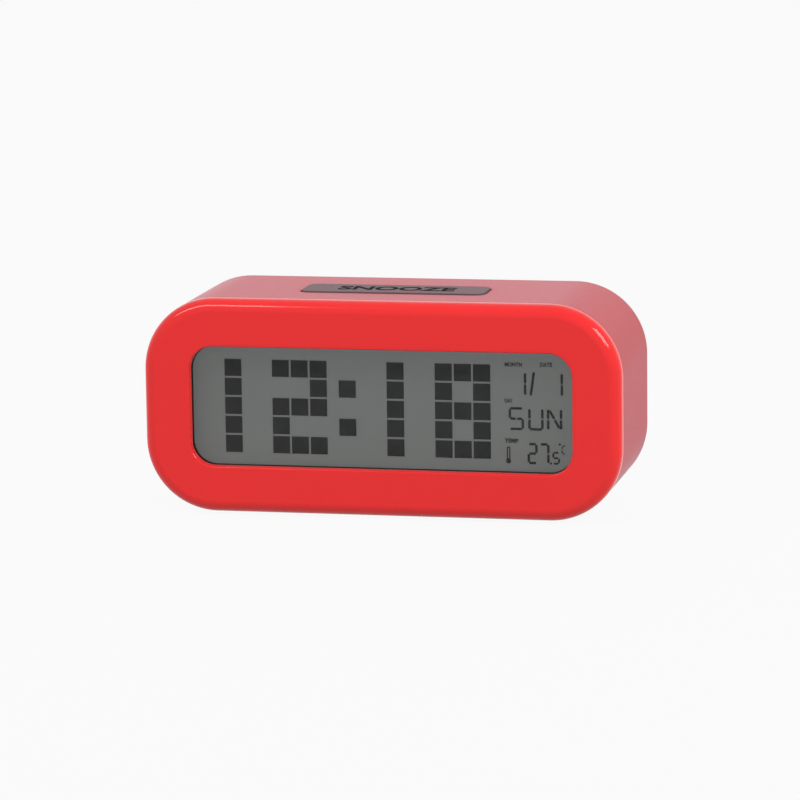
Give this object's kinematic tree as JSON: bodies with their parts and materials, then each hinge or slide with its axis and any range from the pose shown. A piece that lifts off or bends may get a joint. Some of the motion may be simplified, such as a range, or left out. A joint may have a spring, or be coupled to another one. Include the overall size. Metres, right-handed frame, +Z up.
{
  "type": "digital alarm clock",
  "caption": "Rounded box-shaped digital alarm clock with a framed liquid crystal display, a snooze bar on top, and buttons, a slide switch and a battery door at the back.",
  "frame": {"origin": "on the surface that the clock stands on, below the middle of its box", "axes": "+X to the right seen from the front, +Y to the back, +Z up; the display faces -Y"},
  "size_m": [0.15, 0.054, 0.0683],
  "materials": {
    "gloss_red": "high gloss moulded ABS",
    "satin_red": "soft-touch coat on moulded ABS",
    "black_plastic": "fine spark-eroded texture",
    "grey_plastic": "satin moulded ABS",
    "steel": "nickel plated",
    "rubber": "matt",
    "foam": "matt closed-cell foam",
    "clear_lens": "polished acrylic",
    "film": "smooth polariser film",
    "lcd_glass": "polished",
    "segment_black": "dark segment",
    "reflector": "silvered film, diffuse",
    "milk_plastic": "milky acrylic",
    "white_plastic": "moulded",
    "zebra_rubber": "layered silicone",
    "board": "solder mask",
    "epoxy": "cured drop",
    "switch_black": "moulded",
    "lead_grey": "extruded sleeve",
    "lead_red": "extruded sleeve",
    "brass": "rolled",
    "cell_wrap": "plain shrink sleeve"
  },
  "bodies": {
    "root": {"front_bezel": "gloss_red", "body_sleeve": "satin_red", "rear_cover": "black_plastic", "case_screws": "steel", "rubber_feet": "rubber", "display_lens": "clear_lens", "dust_gasket": "foam", "front_polariser": "film", "lcd_front_glass": "lcd_glass", "lcd_segments": "segment_black", "lcd_rear_glass": "lcd_glass", "rear_polariser": "reflector", "light_guide": "milk_plastic", "backlight_leds": "milk_plastic", "lcd_frame": "white_plastic", "zebra_strip": "zebra_rubber", "main_pcb": "board", "display_screws": "steel", "clock_chip": "epoxy", "crystal": "steel", "temperature_sensor": "epoxy", "snooze_springs": "steel", "snooze_switch": "switch_black", "snooze_board": "board", "snooze_screws": "steel", "snooze_leads": "lead_grey", "rear_switches": "switch_black", "alarm_switch": "steel", "rear_board": "board", "rear_board_screws": "steel", "board_ribbon": "lead_grey", "buzzer": "brass", "buzzer_leads": "lead_grey", "battery_cells": "cell_wrap", "positive_contact": "steel", "negative_contact": "steel", "bridge_contact": "steel", "contact_springs": "steel", "battery_leads": "lead_red"},
    "snooze": {"snooze_button": "grey_plastic", "snooze_plunger": "switch_black"},
    "mode": {"mode_button": "grey_plastic", "mode_plunger": "switch_black"},
    "set": {"set_button": "grey_plastic", "set_plunger": "switch_black"},
    "up": {"up_button": "grey_plastic", "up_plunger": "switch_black"},
    "down": {"down_button": "grey_plastic", "down_plunger": "switch_black"},
    "alarm": {"alarm_knob": "grey_plastic", "alarm_slider": "switch_black"},
    "door": {"battery_door": "black_plastic"}
  },
  "joints": [
    {"name": "snooze_press", "type": "slide", "parent": "root", "child": "snooze", "axis": [0, 0, -1], "range_m": [0, 0.001], "stiffness_N_per_m": 2000, "deforming": ["snooze_springs"]},
    {"name": "mode_press", "type": "slide", "parent": "root", "child": "mode", "axis": [0, -1, 0], "range_m": [0, 0.0006], "stiffness_N_per_m": 2500},
    {"name": "set_press", "type": "slide", "parent": "root", "child": "set", "axis": [0, -1, 0], "range_m": [0, 0.0006], "stiffness_N_per_m": 2500},
    {"name": "up_press", "type": "slide", "parent": "root", "child": "up", "axis": [0, -1, 0], "range_m": [0, 0.0006], "stiffness_N_per_m": 2500},
    {"name": "down_press", "type": "slide", "parent": "root", "child": "down", "axis": [0, -1, 0], "range_m": [0, 0.0006], "stiffness_N_per_m": 2500},
    {"name": "alarm_slide", "type": "slide", "parent": "root", "child": "alarm", "axis": [1, 0, 0], "range_m": [0, 0.004]},
    {"name": "door_turn", "type": "hinge", "parent": "root", "child": "door", "pos_m": [0, 0.02395, 0.00775], "axis": [-1, 0, 0], "range_deg": [0, 90]}
  ]
}
